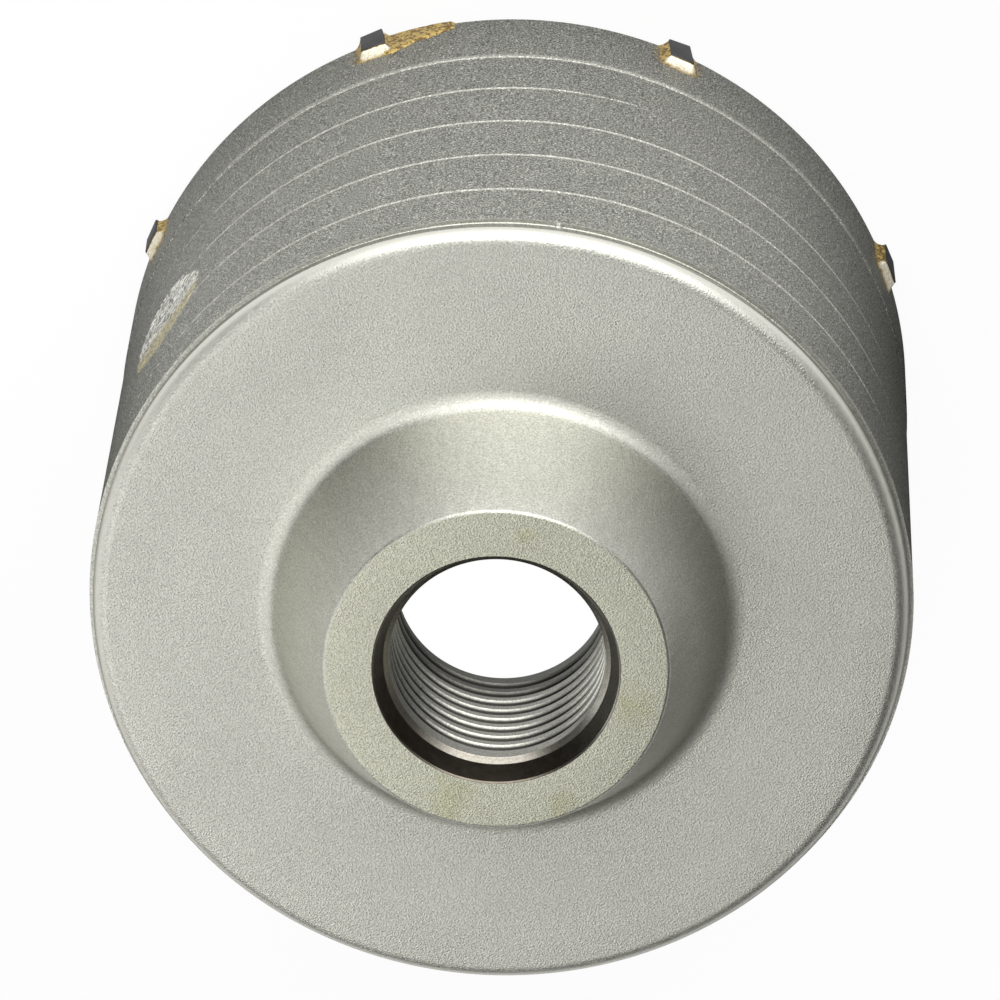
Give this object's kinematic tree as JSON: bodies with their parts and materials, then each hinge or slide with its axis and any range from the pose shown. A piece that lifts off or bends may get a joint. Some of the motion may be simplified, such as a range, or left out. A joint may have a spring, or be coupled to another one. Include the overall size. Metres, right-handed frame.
{
  "type": "concrete core bit",
  "caption": "Short steel cup with carbide tips brazed round its rim and a threaded hub on its closed back, which cuts round holes in concrete and masonry.",
  "frame": {"origin": "on the bit's axis, in the plane of the cutting edges that it stands on", "axes": "+Z along the bit's axis towards the threaded hub, +X through carbide_tip_1"},
  "size_m": [0.08, 0.08, 0.0707],
  "materials": {
    "blasted_steel": "fine bead-blasted satin steel with a nickel-grey tone",
    "carbide": "dark grey sintered tungsten carbide, smooth and dull",
    "braze": "rough pale gold braze"
  },
  "bodies": {
    "root": {"core_body": "blasted_steel", "carbide_tip_1": "carbide", "carbide_tip_2": "carbide", "carbide_tip_3": "carbide", "carbide_tip_4": "carbide", "carbide_tip_5": "carbide", "carbide_tip_6": "carbide", "carbide_tip_7": "carbide", "carbide_tip_8": "carbide", "braze_joint_1": "braze", "braze_joint_2": "braze", "braze_joint_3": "braze", "braze_joint_4": "braze", "braze_joint_5": "braze", "braze_joint_6": "braze", "braze_joint_7": "braze", "braze_joint_8": "braze"}
  },
  "joints": []
}
